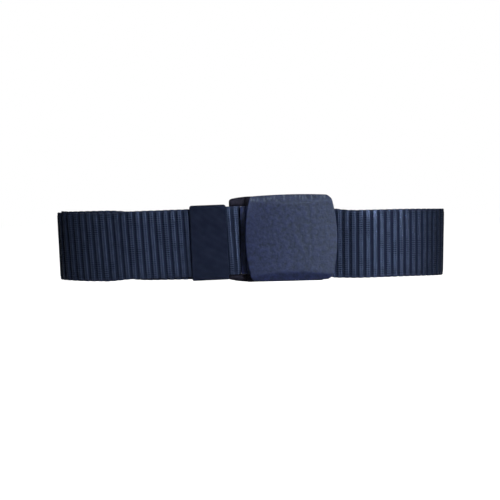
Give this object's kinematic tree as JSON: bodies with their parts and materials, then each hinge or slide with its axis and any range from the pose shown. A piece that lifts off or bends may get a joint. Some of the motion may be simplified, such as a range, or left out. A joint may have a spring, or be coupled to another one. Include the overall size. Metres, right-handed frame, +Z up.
{
  "type": "trouser belt",
  "caption": "Ribbed webbing trouser belt fastened in a loop by a plastic flip-lever buckle, its tail held by a keeper.",
  "frame": {"origin": "under the middle of the bounding box, on the surface that the belt stands on", "axes": "+X to the right along the front as the buckle is seen from outside, +Y from the buckle to the back of the waist, +Z up along the width of the webbing"},
  "size_m": [0.2286, 0.3014, 0.0479],
  "materials": {
    "webbing": "navy nylon webbing with cross ribs and a smooth selvedge along both edges",
    "keeper": "matt dark navy woven band with fine ribs along its length",
    "frame_plastic": "moulded dark navy plastic",
    "lever_plastic": "moulded navy plastic with a fine even grain"
  },
  "bodies": {
    "belt": {"webbing_strap": "webbing", "keeper_loop": "keeper", "buckle_frame": "frame_plastic"},
    "lever": {"buckle_lever": "lever_plastic"}
  },
  "joints": [
    {"name": "lever_hinge", "type": "hinge", "parent": "belt", "child": "lever", "pos_m": [-0.00122, -0.14435, 0.0235], "axis": [0, 0, -1], "range_deg": [0, 65]}
  ]
}
